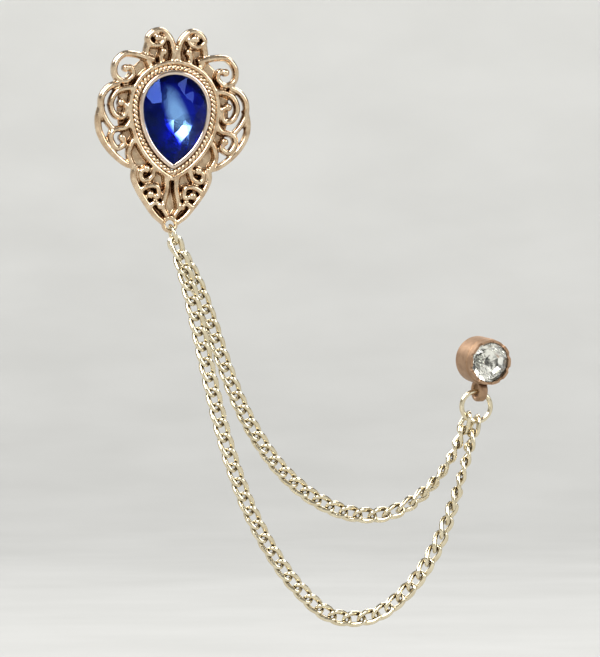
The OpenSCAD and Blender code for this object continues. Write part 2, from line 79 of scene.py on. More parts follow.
# Sizes worked out from those above
PEAR_R = STONE_W / 2
PEAR_C = STONE_H / 2 - PEAR_R
PEAR_L = STONE_H - PEAR_R
SIDE_R = (PEAR_R**2 + PEAR_L**2) / (2 * PEAR_R)
HOLE_OFF = STONE_GAP + CUP_WALL + BORDER_GAP
ROPE_OFF = HOLE_OFF + ROPE_W / 2 - SEAT
RING_OFF = HOLE_OFF + ROPE_W + RING_W / 2 - WELD
EDGE_OFF = RING_OFF + RING_W / 2
BACK_Z = PAD_T + SEAT
PAVILION_Z = CUP_FLOOR + STONE_GAP
GIRDLE_Z = PAVILION_Z + PAVILION_H
CROWN_Z = GIRDLE_Z + GIRDLE_T
ROPE_Z = FRAME_BACK + PLATE_T + ROPE_SINK * ROPE_W
RING_H = PLATE_T + RING_RISE * ROPE_W
EYE_Y = EYE_RIM + EYE_D / 2 - FRAME_TAIL

# Scrollwork of the right half. Columns: route of [angle from the top, share of the band], height, bead.
STROKES = [
    ([(3, 0), (2, 0.3), (4, 0.64), (9, 0.92), (15, 0.97), (20, 0.84), (18, 0.62), (12, 0.56), (9, 0.7),
      (13.5, 0.77)], 1.1, True),
    ([(20, 0.76), (24, 0.54), (26, 0.33), (26, 0)], 0.95, False),
    ([(14, 0), (14, 0.22), (11, 0.34)], 1.05, True),
    ([(21, 0.2), (27, 0.4), (33, 0.65), (40, 0.92), (49, 0.97), (56, 0.76), (55, 0.4), (46, 0.27),
      (42, 0.46), (46, 0.6)], 1.15, True),
    ([(59, 0.54), (66, 0.82), (75, 0.97), (84, 0.92), (93, 0.76), (102, 0.56)], 1.05, False),
    ([(80, 0.92), (91, 1), (101, 0.97), (112, 0.83), (124, 0.64), (135, 0.47), (142, 0.32)], 0.85, False),
    ([(54, 0), (59, 0.24), (67, 0.54), (78, 0.65), (88, 0.5), (89, 0.23), (77, 0.14), (75, 0.34)], 1.15,
     True),
    ([(92, 0), (101, 0.2), (102, 0.56), (108, 0.68), (118, 0.58), (118, 0.36), (111, 0.37)], 1.1, True),
    ([(116, 0), (122, 0.18), (129, 0.33), (139, 0.36)], 0.95, False),
    ([(159, 0), (160, 0.22), (154, 0.38), (149, 0.3), (152, 0.17)], 1.1, True),
    ([(142, 0.3), (147, 0.48), (156, 0.58), (165, 0.69), (171, 0.8), (176, 0.88)], 0.9, False),
    ([(174, 0), (176, 0.22), (175, 0.46), (175, 0.62), (178, 0.76)], 1, False),
    ([(156, 0.56), (161, 0.38), (168, 0.3), (170, 0.46), (164, 0.5)], 1.1, True),
    ([(166, 0.7), (169, 0.58), (173, 0.6)], 1, True),
]

# Outline of the web in a top curl, and down the side of the tail. Columns as in a route.
TOP_WEB = [(4, -0.1), (2.2, 0.3), (4.2, 0.64), (9.1, 0.91), (15, 0.96), (19.8, 0.83), (23.8, 0.54),
           (25.8, 0.33), (25, -0.1)]
TAIL_WEB = [(139, 0.14), (147.1, 0.47), (156.1, 0.57), (165, 0.68), (171, 0.79), (176.5, 0.86)]

# Routes of the strands. Columns: share of the span, share of the sag.
UPPER_ROUTE = [(0.071, 0.143), (0.122, 0.324), (0.167, 0.515), (0.219, 0.694), (0.286, 0.844),
               (0.371, 0.953), (0.479, 1.001), (0.607, 0.962), (0.745, 0.815), (0.864, 0.568),
               (0.951, 0.284)]
LOWER_ROUTE = [(0.039, 0.133), (0.073, 0.271), (0.106, 0.41), (0.141, 0.546), (0.184, 0.676),
               (0.238, 0.794), (0.308, 0.893), (0.396, 0.969), (0.509, 0.999), (0.65, 0.912),
               (0.768, 0.743), (0.853, 0.556), (0.911, 0.369), (0.955, 0.185)]
UPPER_SAG, LOWER_SAG = 27.1, 44.6

# Direction in which the part faces
FRONT = (0, -1, 0)


def sin(a):
    """Sine of an angle in degrees."""
    return math.sin(math.radians(a))


def cos(a):
    """Cosine of an angle in degrees."""
    return math.cos(math.radians(a))


def unit(v):
    v = np.asarray(v, float)
    return v / np.linalg.norm(v)


def spline(points, steps):
    """Spline through the points, with that many steps in each span."""
    p = np.array(points, float)
    p = np.vstack([2 * p[0] - p[1], p, 2 * p[-1] - p[-2]])
    out = []
    for a, b, c, d in zip(p[:-3], p[1:-2], p[2:-1], p[3:]):
        for t in np.arange(steps) / steps:
            out.append((2 * b + (c - a) * t + (2 * a - 5 * b + 4 * c - d) * t**2
                        + (3 * b - a - 3 * c + d) * t**3) / 2)
    return np.array(out + [p[-2]])


def pear_edge(angle, off):
    """Distance from the middle of the stone to its outline moved out by off, at an angle from the top."""
    s, c = sin(abs(angle)), cos(angle)
    side = SIDE_R - PEAR_R
    b = s * side - c * PEAR_C
    far = -b + math.sqrt(b * b - side * side - PEAR_C**2 + (SIDE_R + off) ** 2)
    near = c * PEAR_C + math.sqrt((c * PEAR_C) ** 2 - PEAR_C**2 + (PEAR_R + off) ** 2)
    return near if far * c > PEAR_C else far


def pear_path(off, count):
    """Closed path along the stone's outline moved out by off, in steps of equal length. It runs so that
    its sides point outward."""
    angles = np.linspace(180, -180, PEAR_STEPS + 1)
    points = np.array([pear_edge(a, off) * np.array([sin(a), cos(a)]) for a in angles])
    s = np.concatenate([[0], np.cumsum(np.linalg.norm(np.diff(points, axis=0), axis=1))])
    at = np.arange(count) / count * s[-1]
    return np.stack([np.interp(at, s, points[:, k]) for k in (0, 1)], axis=1)


def band(angle, share):
    """Point of the band between the border and the frame's outline."""
    side = (FRAME_W - STROKE_W) / 2 - INSET
    end = (FRAME_TOP if cos(angle) > 0 else FRAME_TAIL) - STROKE_W / 2 - INSET
    outer = 1 / math.sqrt((sin(angle) / side) ** 2 + (cos(angle) / end) ** 2)
    r = (1 - share) * pear_edge(angle, RING_OFF) + share * outer
    return r * sin(angle), r * cos(angle)


def on_brooch(points):
    """Points drawn flat on the brooch's plane, stood up in the row frame."""
    x, y, z = np.asarray(points, float).reshape(-1, 3).T
    return np.stack([x * cos(LEAN) + y * sin(LEAN), -z - BACK_Z, y * cos(LEAN) - x * sin(LEAN)], axis=1)


def on_stud(points):
    """Points drawn flat on the stud's plane, stood up in the row frame."""
    x, y, z = np.asarray(points, float).reshape(-1, 3).T
    back = -z * cos(STUD_PITCH) - y * sin(STUD_PITCH)
    up = y * cos(STUD_PITCH) - z * sin(STUD_PITCH)
    return np.array(STUD_AT) + np.stack(
        [x * cos(STUD_YAW) - back * sin(STUD_YAW), x * sin(STUD_YAW) + back * cos(STUD_YAW), up], axis=1)


class Shape:
    """Vertices and faces that several parts of one piece are gathered in."""

    def __init__(self):
        self.points, self.faces, self.count = [], [], 0

    def add(self, points, faces):
        self.points.append(np.asarray(points, float))
        self.faces += [tuple(self.count + i for i in f) for f in faces]
        self.count += len(points)

    def mesh(self, name, place=None):
        points = np.vstack(self.points)
        if place:
            points = place(points)
        mesh = bpy.data.meshes.new(name)
        mesh.from_pydata((points * MM).tolist(), [], self.faces)
        mesh.validate()
        skin = bmesh.new()
        skin.from_mesh(mesh)
        bmesh.ops.recalc_face_normals(skin, faces=skin.faces)
        skin.to_mesh(mesh)
        skin.free()
        return mesh


def tube_faces(rings, sides, closed):
    """Faces of a tube of rings with sides points each, with flat ends unless it is closed."""
    faces = []
    for i in range(rings if closed else rings - 1):
        for k in range(sides):
            a, b = i * sides, ((i + 1) % rings) * sides
            faces.append((a + k, a + (k + 1) % sides, b + (k + 1) % sides, b + k))
    if not closed:
        faces += [tuple(range(sides - 1, -1, -1)), tuple((rings - 1) * sides + k for k in range(sides))]
    return faces


def sides_of(path, closed):
    """Directions to the side of a flat path."""
    ahead, behind = np.roll(path, -1, axis=0), np.roll(path, 1, axis=0)
    if not closed:
        ahead[-1], behind[0] = path[-1], path[0]
    d = ahead - behind
    d /= np.linalg.norm(d, axis=1)[:, None]
    return np.stack([d[:, 1], -d[:, 0]], axis=1)


def arch(half, low, high):
    """Half ellipse of [side, height] points, from its right foot over its top to its left foot."""
    turns = [180 * i / ARCH_STEPS for i in range(ARCH_STEPS + 1)]
    return [(half * cos(a), low + (high - low) * sin(a)) for a in turns]


def strand(shape, path, section, low, closed=False):
    """Sweeps a section of [side, height] points along a flat path at the height low. A table of sections
    may give one for each point of the path."""
    sides = sides_of(path, closed)
    sections = section if np.ndim(section) == 3 else [section] * len(path)
    points = []
    for p, side, sec in zip(path, sides, sections):
        for q in sec:
            points.append([p[0] + side[0] * q[0], p[1] + side[1] * q[0], low + q[1]])
    shape.add(points, tube_faces(len(path), len(sections[0]), closed))


def lathe(shape, profile, steps, at):
    """Turns a profile of [radius, height] points about the line along +Z through at. The profile is a closed
    loop that may come close to the line but doesn't reach it."""
    points, n = [], len(profile)
    for i in range(steps):
        a = 360 * i / steps
        points += [[at[0] + r * cos(a), at[1] + r * sin(a), at[2] + z] for r, z in profile]
    faces = []
    for i in range(steps):
        for k in range(n):
            a, b = i * n, ((i + 1) % steps) * n
            faces.append((a + k, b + k, b + (k + 1) % n, a + (k + 1) % n))
    shape.add(points, faces)


def path_tube(shape, points, radius, sides, slant=(0.3, 0.2, 1.0)):
    """Round tube along a closed path of points in space, turned as little as possible from ring to ring.
    slant is any direction that the path doesn't start in."""
    p = np.asarray(points, float)
    tangents = np.roll(p, -1, axis=0) - np.roll(p, 1, axis=0)
    tangents /= np.linalg.norm(tangents, axis=1)[:, None]
    out = unit(np.cross(tangents[0], unit(slant)))
    rings = []
    for at, t in zip(p, tangents):
        out = unit(out - t * out.dot(t))
        up = np.cross(t, out)
        for k in range(sides):
            a = 360 * k / sides
            rings.append(at + radius * (out * cos(a) + up * sin(a)))
    shape.add(rings, tube_faces(len(p), sides, True))


def place_object(name, mesh, material, replaces=(), smooth=True, sharp=None):
    """Adds a piece that rides on the part, takes a material and hides the parts that it replaces. Edges
    that turn by more than sharp degrees stay sharp."""
    obj = bpy.data.objects.new(name, mesh)
    bpy.context.scene.collection.objects.link(obj)
    mesh.materials.append(material)
    mesh.polygons.foreach_set("use_smooth", [smooth] * len(mesh.polygons))
    if sharp:
        mesh.set_sharp_from_angle(angle=math.radians(sharp))
    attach(obj, "root")
    if replaces:
        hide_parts(*replaces)
    return obj


# Cells of a fused skin, and how far and how often they are smoothed
FUSE_CELL, FUSE_PULL, FUSE_ROUNDS = 0.13, 0.5, 3


def fuse(shape):
    """Joins what a shape holds into one skin of small cells, which stays in millimetres."""
    mesh = bpy.data.meshes.new("fused")
    mesh.from_pydata(np.vstack(shape.points).tolist(), [], shape.faces)
    obj = bpy.data.objects.new("fused", mesh)
    bpy.context.scene.collection.objects.link(obj)
    remesh = obj.modifiers.new("remesh", "REMESH")
    remesh.mode, remesh.voxel_size = "VOXEL", FUSE_CELL
    smooth = obj.modifiers.new("smooth", "SMOOTH")
    smooth.factor, smooth.iterations = FUSE_PULL, FUSE_ROUNDS
    dg = bpy.context.evaluated_depsgraph_get()
    done = bpy.data.meshes.new_from_object(obj.evaluated_get(dg))
    bpy.data.objects.remove(obj)
    return done


# Materials

# Noises. Columns: size of the spots, detail, noise values for none and for all of the change.
MOTTLE, METAL_WEAR = (1.3, 3, 0.42, 0.62), (0.25, 5, 0.35, 0.7)
CLOUDS, GLASS_WEAR, FOIL_WEAR = (4, 3, 0.4, 0.65), (0.8, 3, 0.3, 0.7), (0.5, 3, 0.3, 0.7)
CLOTH = (60, 3, 0.3, 0.7)
# Dark places of a foil, which are painted dark reflections: size and detail, noise values for none and all
# of them, shift of both by the share
DARK_REFLECTION_SPOTS, FOIL_START, FOIL_END, FOIL_SHIFT = (3, 3), 0.6, 0.66, 0.2
# Share of a painted reflection streak, from its edge inward, over which it fades
STREAK_FADE = 0.6
# Grain of a metal: size and detail, depth. Rays that look for its recesses.
GRAIN, GRAIN_DEPTH, SHADE_RAYS = (0.4, 4), 0.03, 12
# Least and greatest roughness of glass, and how strongly it bends light
GLASS_ROUGH, GLASS_BEND = (0.01, 0.03), 1.56


def new_material(name):
    material = bpy.data.materials.new(name)
    material.use_nodes = True
    shader = material.node_tree.nodes["Principled BSDF"]
    return material, shader


def link(material, source, target):
    material.node_tree.links.new(source, target)


def noise(material, coords, size, detail):
    """Noise with spots of the given size."""
    node = material.node_tree.nodes.new("ShaderNodeTexNoise")
    node.inputs["Scale"].default_value = 1 / (size * MM)
    node.inputs["Detail"].default_value = detail
    link(material, coords.outputs["Object"], node.inputs["Vector"])
    return node.outputs["Fac"]


def scaled(material, value, low, high, to_low, to_high):
    """Value stretched from the range low to high to another range, and kept inside it."""
    node = material.node_tree.nodes.new("ShaderNodeMapRange")
    for socket, number in zip(("From Min", "From Max", "To Min", "To Max"), (low, high, to_low, to_high)):
        node.inputs[socket].default_value = number
    link(material, value, node.inputs["Value"])
    return node.outputs["Result"]


def spots(material, coords, kind, to_low=0, to_high=1):
    """Noise of one of the kinds in the table, spread between two values."""
    size, detail, low, high = kind
    return scaled(material, noise(material, coords, size, detail), low, high, to_low, to_high)


def mixed(material, factor, a, b):
    """Mix of two colours or mixes: a where the factor is 0, b where it is 1."""
    node = material.node_tree.nodes.new("ShaderNodeMix")
    node.data_type = "RGBA"
    for socket, value in (("A", a), ("B", b)):
        if isinstance(value, tuple):
            node.inputs[socket].default_value = (*value, 1)
        else:
            link(material, value, node.inputs[socket])
    link(material, factor, node.inputs["Factor"])
    return node.outputs["Result"]


def metal(name, light, warm, painted_shade, polish, reach, recess, grain):
    """Gold, polished in some spots and rougher in others, with warmer mottling and painted shade in the
    recesses found within reach, which on the antique gold also stands for the patina in its hollows. polish
    is the least and greatest roughness, recess the share of open sky at which the painted shade is full and
    at which it is gone."""
    material, shader = new_material(name)
    tree = material.node_tree.nodes
    coords = tree.new("ShaderNodeTexCoord")
    shader.inputs["Metallic"].default_value = 1
    shade = tree.new("ShaderNodeAmbientOcclusion")
    shade.samples = SHADE_RAYS
    shade.only_local = True
    shade.inputs["Distance"].default_value = reach * MM
    # The dark tone laid in where the AO node finds little open sky is painted shade; on the antique gold it
    # also stands for patina in the hollows.
    open_sky = scaled(material, shade.outputs["AO"], *recess, 0, 1)
    tone = mixed(material, spots(material, coords, MOTTLE), light, warm)
    link(material, mixed(material, open_sky, painted_shade, tone), shader.inputs["Base Color"])
    link(material, spots(material, coords, METAL_WEAR, *polish), shader.inputs["Roughness"])
    bump = tree.new("ShaderNodeBump")
    bump.inputs["Strength"].default_value = grain
    bump.inputs["Distance"].default_value = GRAIN_DEPTH * MM
    link(material, noise(material, coords, *GRAIN), bump.inputs["Height"])
    link(material, bump.outputs["Normal"], shader.inputs["Normal"])
    return material


def gem(name, tint, deep, gloss):
    """Cut glass, with faint clouds in its tint and a tint of its own in what it mirrors."""
    material, shader = new_material(name)
    coords = material.node_tree.nodes.new("ShaderNodeTexCoord")
    clouds = spots(material, coords, CLOUDS)
    link(material, mixed(material, clouds, tint, deep), shader.inputs["Base Color"])
    link(material, spots(material, coords, GLASS_WEAR, *GLASS_ROUGH), shader.inputs["Roughness"])
    shader.inputs["IOR"].default_value = GLASS_BEND
    shader.inputs["Specular Tint"].default_value = (*gloss, 1)
    shader.inputs["Transmission Weight"].default_value = 1
    return material


def foil(name, light, deep, polish, share=None, reflection_streak=None):
    """Mirror behind the back facets of a cut stone, deep in a share of its places, which are painted dark
    reflections. With a reflection streak instead it is deep but for one light place, a painted reflection,
    given by its middle, its turn and its half width and half height."""
    material, shader = new_material(name)
    tree = material.node_tree.nodes
    coords = tree.new("ShaderNodeTexCoord")
    # A streak is a painted reflection: the foil is light in that one place and deep elsewhere.
    if reflection_streak:
        (x, z), turn, half_width, half_height = reflection_streak
        place = tree.new("ShaderNodeMapping")
        place.vector_type = "TEXTURE"
        place.inputs["Location"].default_value = (x * MM, 0, z * MM)
        place.inputs["Rotation"].default_value = (0, math.radians(turn), 0)
        place.inputs["Scale"].default_value = (half_width * MM, 1, half_height * MM)
        link(material, coords.outputs["Object"], place.inputs["Vector"])
        spot = tree.new("ShaderNodeTexGradient")
        spot.gradient_type = "SPHERICAL"
        link(material, place.outputs["Vector"], spot.inputs["Vector"])
        depth = scaled(material, spot.outputs["Fac"], 0, STREAK_FADE, 1, 0)
    # Otherwise the deep places are painted dark reflections, in spots of noise.
    else:
        change = FOIL_SHIFT * share
        depth = spots(material, coords, (*DARK_REFLECTION_SPOTS, FOIL_START - change, FOIL_END - change))
    link(material, mixed(material, depth, light, deep), shader.inputs["Base Color"])
    link(material, spots(material, coords, FOIL_WEAR, *polish), shader.inputs["Roughness"])
    shader.inputs["Metallic"].default_value = 1
    return material


# Painted reflection in the blue stone, a light streak: its middle, its turn and its half sizes
REFLECTION_STREAK = ((0.6, 0.6), -22, 1.9, 5.2)

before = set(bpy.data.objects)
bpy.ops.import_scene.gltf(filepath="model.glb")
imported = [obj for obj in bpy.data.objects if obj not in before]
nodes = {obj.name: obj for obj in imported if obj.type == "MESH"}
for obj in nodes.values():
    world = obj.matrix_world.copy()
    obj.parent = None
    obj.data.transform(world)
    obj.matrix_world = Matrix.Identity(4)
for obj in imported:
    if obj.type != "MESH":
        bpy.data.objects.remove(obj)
cad_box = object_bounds()

# Metals. Columns: name, light and warm tone, tone of the painted shade in recesses, roughness, reach, open
# sky, strength of the grain.
METALS = [
    ("antique_gold", (0.71, 0.56, 0.39), (0.54, 0.39, 0.25), (0.16, 0.075, 0.03), (0.12, 0.32), 0.9,
     (0.34, 0.86), 0.3),
    ("chain_gold", (0.74, 0.665, 0.49), (0.66, 0.575, 0.4), (0.14, 0.095, 0.04), (0.1, 0.26), 0.6,
     (0.3, 0.8), 0.15),
    ("setting_gold", (0.72, 0.6, 0.5), (0.64, 0.5, 0.4), (0.18, 0.09, 0.045), (0.1, 0.2), 0.5, (0.2, 0.7),
     0.1),
    ("rose_gold", (0.4, 0.262, 0.165), (0.33, 0.21, 0.13), (0.11, 0.05, 0.027), (0.5, 0.64), 0.8,
     (0.25, 0.75), 0.3),
    ("pin_brass", (0.84, 0.66, 0.36), (0.78, 0.56, 0.26), (0.2, 0.12, 0.04), (0.16, 0.3), 0.8, (0.2, 0.7),
     0.2),
]
ANTIQUE, CHAIN, SETTING, ROSE, PIN = [metal(*row) for row in METALS]
BLUE = gem("blue_glass", (0.34, 0.54, 0.96), (0.29, 0.49, 0.95), (0.1, 0.2, 0.8))
# The blue foil's light tone is a painted reflection, laid on only along the streak.
BLUE_FOIL = foil("blue_foil", (0.6, 0.76, 0.84), (0.01, 0.014, 0.28), (0.14, 0.22), reflection_streak=REFLECTION_STREAK)
CLEAR = gem("clear_glass", (1, 1, 0.99), (0.98, 0.99, 0.97), (1, 1, 1))
# The clear foil's deep tone is painted dark reflections, in spots over its mirror.
CLEAR_FOIL = foil("clear_foil", (1, 1, 0.97), (0.1, 0.1, 0.085), (0.14, 0.22), share=0.38)


# Scrollwork of the brooch

# Section of a stroke: straight sides up to a share of its height and a round top
STROKE_SIDE = 0.35
STROKE_SECTION = np.array([(1, 0), *arch(1, STROKE_SIDE, 1), (-1, 0)]) * [STROKE_W / 2, STRAND_H]

# Beads: radius in widths of a stroke, height in heights of a stroke, height of the cap in radii, and the
# radius that a profile keeps from the axis
BEAD_R, BEAD_H, BEAD_CAP, AXIS_R = 0.6, 1.15, 0.9, 0.001

# How far the slabs of the web reach into the strokes. Bevels of the eye: at the back of its hole, and the
# height and width of those in front.
WEB_LAP = 0.02
EYE_BACK, EYE_SIDE, EYE_TOP = 0.15, 0.25, 0.2

# Turns of the rope and radius of its wires, bevel of the setting's foot, and the angle from which the
# setting's edges stay sharp
ROPE_TURNS, ROPE_WIRE = 30, 0.29 * ROPE_W
CUP_SOFT, CUP_SHARP = 0.12, 50


def scroll(shape, route, height, bead, mirror):
    """One stroke of the scrollwork, which thins a little towards its end. It may end in a bead."""
    path = spline([band(*p) for p in route], STROKE_STEPS) * [mirror, 1]
    sections = []
    for t in np.linspace(0, 1, len(path)):
        sections.append(STROKE_SECTION * [(1 - STROKE_TAPER * t) * mirror, height])
    strand(shape, path, np.array(sections), FRAME_BACK)
    if bead:
        r, h = BEAD_R * STRAND_W, BEAD_H * STRAND_H * height
        cap = BEAD_CAP * r
        arc = [(r * cos(a), h - cap + cap * sin(a)) for a in range(0, 90, BEAD_TURN)]
        profile = [(AXIS_R, 0), (r, 0), *arc, (AXIS_R, h)]
        lathe(shape, profile, BEAD_STEPS, (path[-1][0], path[-1][1], FRAME_BACK))


def slab(shape, outline, low, high):
    """Flat slab with the outline given in order round it."""
    n = len(outline)
    points = [[x, y, z] for z in (low, high) for x, y in outline]
    sides = [(i, (i + 1) % n, n + (i + 1) % n, n + i) for i in range(n)]
    shape.add(points, [tuple(range(n - 1, -1, -1)), tuple(range(n, 2 * n)), *sides])


def web(shape):
    """Thin web behind the inner scrolls, the top curls and the tail."""
    inner, outer = HOLE_OFF - RING_OFF, RING_W / 2 + WEB_OUT
    ring = [(inner, 0), (outer, 0), (outer, WEB_T), (inner, WEB_T)]
    strand(shape, pear_path(RING_OFF, WEB_STEPS), ring, FRAME_BACK - WEB_T, True)
    for mirror in (1, -1):
        top = spline([band(*q) for q in TOP_WEB], CURL_STEPS) * [mirror, 1]
        tail = [band(*q) for q in TAIL_WEB] + [(0, EYE_Y + EYE_D), (0, -pear_edge(180, RING_OFF))]
        tail = np.array(tail) * [mirror, 1]
        for outline in (top[::mirror], tail[::mirror]):
            slab(shape, outline, FRAME_BACK - WEB_T, FRAME_BACK + WEB_LAP)


def filigree():
    """Scrollwork, web, border and eye of the brooch, in one fused skin."""
    shape = Shape()
    web(shape)
    for mirror in (1, -1):
        for route, height, bead in STROKES:
            scroll(shape, route, height, bead, mirror)
    plate = [(HOLE_OFF, 0), (EDGE_OFF - WELD, 0), (EDGE_OFF - WELD, PLATE_T), (HOLE_OFF, PLATE_T)]
    middle = (HOLE_OFF + EDGE_OFF - WELD) / 2
    strand(shape, pear_path(middle, RING_STEPS), [(s - middle, z) for s, z in plate], FRAME_BACK, True)
    half = RING_W / 2
    ring = [(-half, 0), (half, 0), *arch(half, RING_H - half, RING_H)]
    strand(shape, pear_path(RING_OFF, RING_STEPS), ring, FRAME_BACK, True)
    inner, outer = EYE_D / 2, EYE_D / 2 + EYE_RIM
    eye = [(inner, EYE_BACK), (inner + EYE_BACK, 0), (outer, 0), (outer, EYE_T - EYE_SIDE),
           (outer - EYE_TOP, EYE_T), (inner + EYE_TOP, EYE_T), (inner, EYE_T - EYE_SIDE)]
    lathe(shape, eye, EYE_STEPS, (0, EYE_Y, FRAME_BACK))
    mesh = fuse(shape)
    place = Matrix(((cos(LEAN), sin(LEAN), 0, 0), (0, 0, -1, -BACK_Z), (-sin(LEAN), cos(LEAN), 0, 0),
                    (0, 0, 0, 1)))
    mesh.transform(Matrix.Scale(MM, 4) @ place)
    place_object("filigree", mesh, ANTIQUE, ["filigree_frame"])


def rope_border():
    """Two wires twisted round each other along the border."""
    shape = Shape()
    path = pear_path(ROPE_OFF, ROPE_STEPS)
    sides = sides_of(path, True)
    r = ROPE_W / 2 - ROPE_WIRE
    for half in (0, 180):
        points = []
        for i, (p, side) in enumerate(zip(path, sides)):
            a = 360 * ROPE_TURNS * i / ROPE_STEPS + half
            points.append([p[0] + side[0] * r * cos(a), p[1] + side[1] * r * cos(a), ROPE_Z + r * sin(a)])
        path_tube(shape, points, ROPE_WIRE, ROPE_SIDES)
    place_object("rope_border", shape.mesh("rope_border", on_brooch), ANTIQUE)


def setting():
    """Cup of the stone with a rounded lip."""
    shape = Shape()
    outer, inner, lip = STONE_GAP + CUP_WALL, STONE_GAP, -LIP_OVER
    low, high = CROWN_Z, CROWN_Z + LIP_T
    top = [((outer + lip) / 2 + side, z) for side, z in arch((outer - lip) / 2, low, high)]
    foot = [(inner, 2 * CUP_SOFT), (outer - CUP_SOFT, 0.5 * CUP_SOFT)]
    wall = [(outer, CUP_SOFT), *top, (inner, low), *foot]
    strand(shape, pear_path(0, CUP_STEPS), wall, 0, True)
    slab(shape, pear_path(outer - CUP_SOFT, CUP_STEPS), 0, CUP_FLOOR)
    place_object("setting", shape.mesh("setting", on_brooch), SETTING, ["stone_setting"],
                 sharp=CUP_SHARP)


# Strands of chain

TIP_DIR = np.array([sin(TIP_SWING), 0, -cos(TIP_SWING)])
TIP_RING_R = (TIP_RING_D - TIP_WIRE) / 2
TIP_RING_AT = on_brooch([0, EYE_Y, FRAME_BACK + EYE_T / 2])[0] + TIP_DIR * (
    EYE_D / 2 - TIP_WIRE / 2 - TIP_CLEAR + TIP_RING_R)
STUD_RING_R = (STUD_RING_D - STUD_WIRE) / 2
EYELET_Y = 2 * WELD - DRUM_D / 2 - (EYELET_HOLE + EYELET_WIRE) / 2
STUD_RING_AT = on_stud([0, EYELET_Y, EYELET_OUT])[0] - np.array([sin(STUD_SWING), 0, cos(STUD_SWING)]) * (
    EYELET_HOLE / 2 - STUD_WIRE / 2 - STUD_CLEAR + STUD_RING_R)
LINK_A, LINK_B = (LINK_L - LINK_ROD) / 2, (LINK_W - LINK_ROD) / 2


def link_line(t, first, last):
    """Point of a link's middle line at the angle t. first and last turn its ends about its length."""
    x = math.copysign(abs(cos(t)) ** LINK_ROUND, cos(t))
    y = math.copysign(abs(sin(t)) ** LINK_ROUND, sin(t))
    turn = first + (last - first) * (x + 1) / 2
    return np.array([LINK_A * x, LINK_B * y * cos(turn), LINK_B * y * sin(turn)])


def ease(x):
    """Soft step from 0 to 1."""
    t = min(max(x, 0), 1)
    return t * t * (3 - 2 * t)


def chain(name, node, table, sag, side):
    """Strand between the wires of two rings. side is -1 for the strand in front at the brooch."""
    start = TIP_RING_AT + TIP_RING_R * (cos(TIP_SPREAD) * TIP_DIR + np.array([0, side * sin(TIP_SPREAD), 0]))
    hang = STUD_HANG + side * STUD_SPREAD
    end = STUD_RING_AT - STUD_RING_R * np.array([sin(hang), 0, cos(hang)])
    from_hold = TIP_SIDE - TIP_RING_R * sin(TIP_SPREAD)
    knots = [start]
    for span, drop in table:
        depth = side * (from_hold * (1 - span) + STUD_SIDE * span)
        knots.append(start + (end - start) * span + [0, depth, -sag * drop])
    route = spline(knots + [end], ROUTE_STEPS)
    s = np.concatenate([[0], np.cumsum(np.linalg.norm(np.diff(route, axis=0), axis=1))])

    def at_length(m):
        m = min(max(m, 0), s[-1])
        return np.array([np.interp(m, s, route[:, k]) for k in range(3)])

    slack = LINK_L / 2 - LINK_WIRE - HANG_GAP
    first_at = slack - TIP_WIRE / 2
    free = s[-1] - first_at - (slack - STUD_WIRE / 2)
    count = math.ceil(free / LINK_PITCH) + 1
    pitch = free / (count - 1)
    shape = Shape()
    for i in range(count):
        m = first_at + i * pitch
        at = at_length(m)
        along = unit(at_length(m + pitch / 2) - at_length(m - pitch / 2))
        flat = unit(np.cross(along, FRONT))
        face = np.cross(flat, along)
        roll = -90 * ease(1 - (count - 1 - i) / ROLL_LINKS)
        across = flat * cos(roll) + face * sin(roll)
        through = face * cos(roll) - flat * sin(roll)
        first, last = (0 if i == 0 else -LINK_TURN), (0 if i == count - 1 else LINK_TURN)
        points = []
        for j in range(LINK_STEPS):
            t = 360 * (j + 0.5) / LINK_STEPS
            c = link_line(t, first, last)
            tangent = unit(link_line(t + 1, first, last) - link_line(t - 1, first, last))
            out = unit(c - tangent * c.dot(tangent))
            up = np.cross(tangent, out)
            inward = LINK_ROD / 2 + LINK_FILL * sin(t) ** 4
            for k in range(LINK_SIDES):
                a = 360 * k / LINK_SIDES
                wide = LINK_ROD / 2 if cos(a) > 0 else inward
                p = c + out * cos(a) * wide + up * sin(a) * LINK_ROD / 2
                points.append(at + along * p[0] + across * p[1] + through * p[2])
        shape.add(points, tube_faces(LINK_STEPS, LINK_SIDES, True))
    place_object(name, shape.mesh(name), CHAIN, [node])


# Stones

# Cut of a crown: the table's and the corners' share of the girdle, the corners' share of the height
CROWN_CUT = (0.56, 0.78, 0.6)
# Cut of a back: share of the girdle and share of the depth, for each of its two rings
PEAR_BACK, ROUND_BACK = (0.62, 0.5, 0.32, 0.82), (0.55, 0.3, 0.2, 0.56)
PEAR_MAINS, ROUND_MAINS = 12, 8


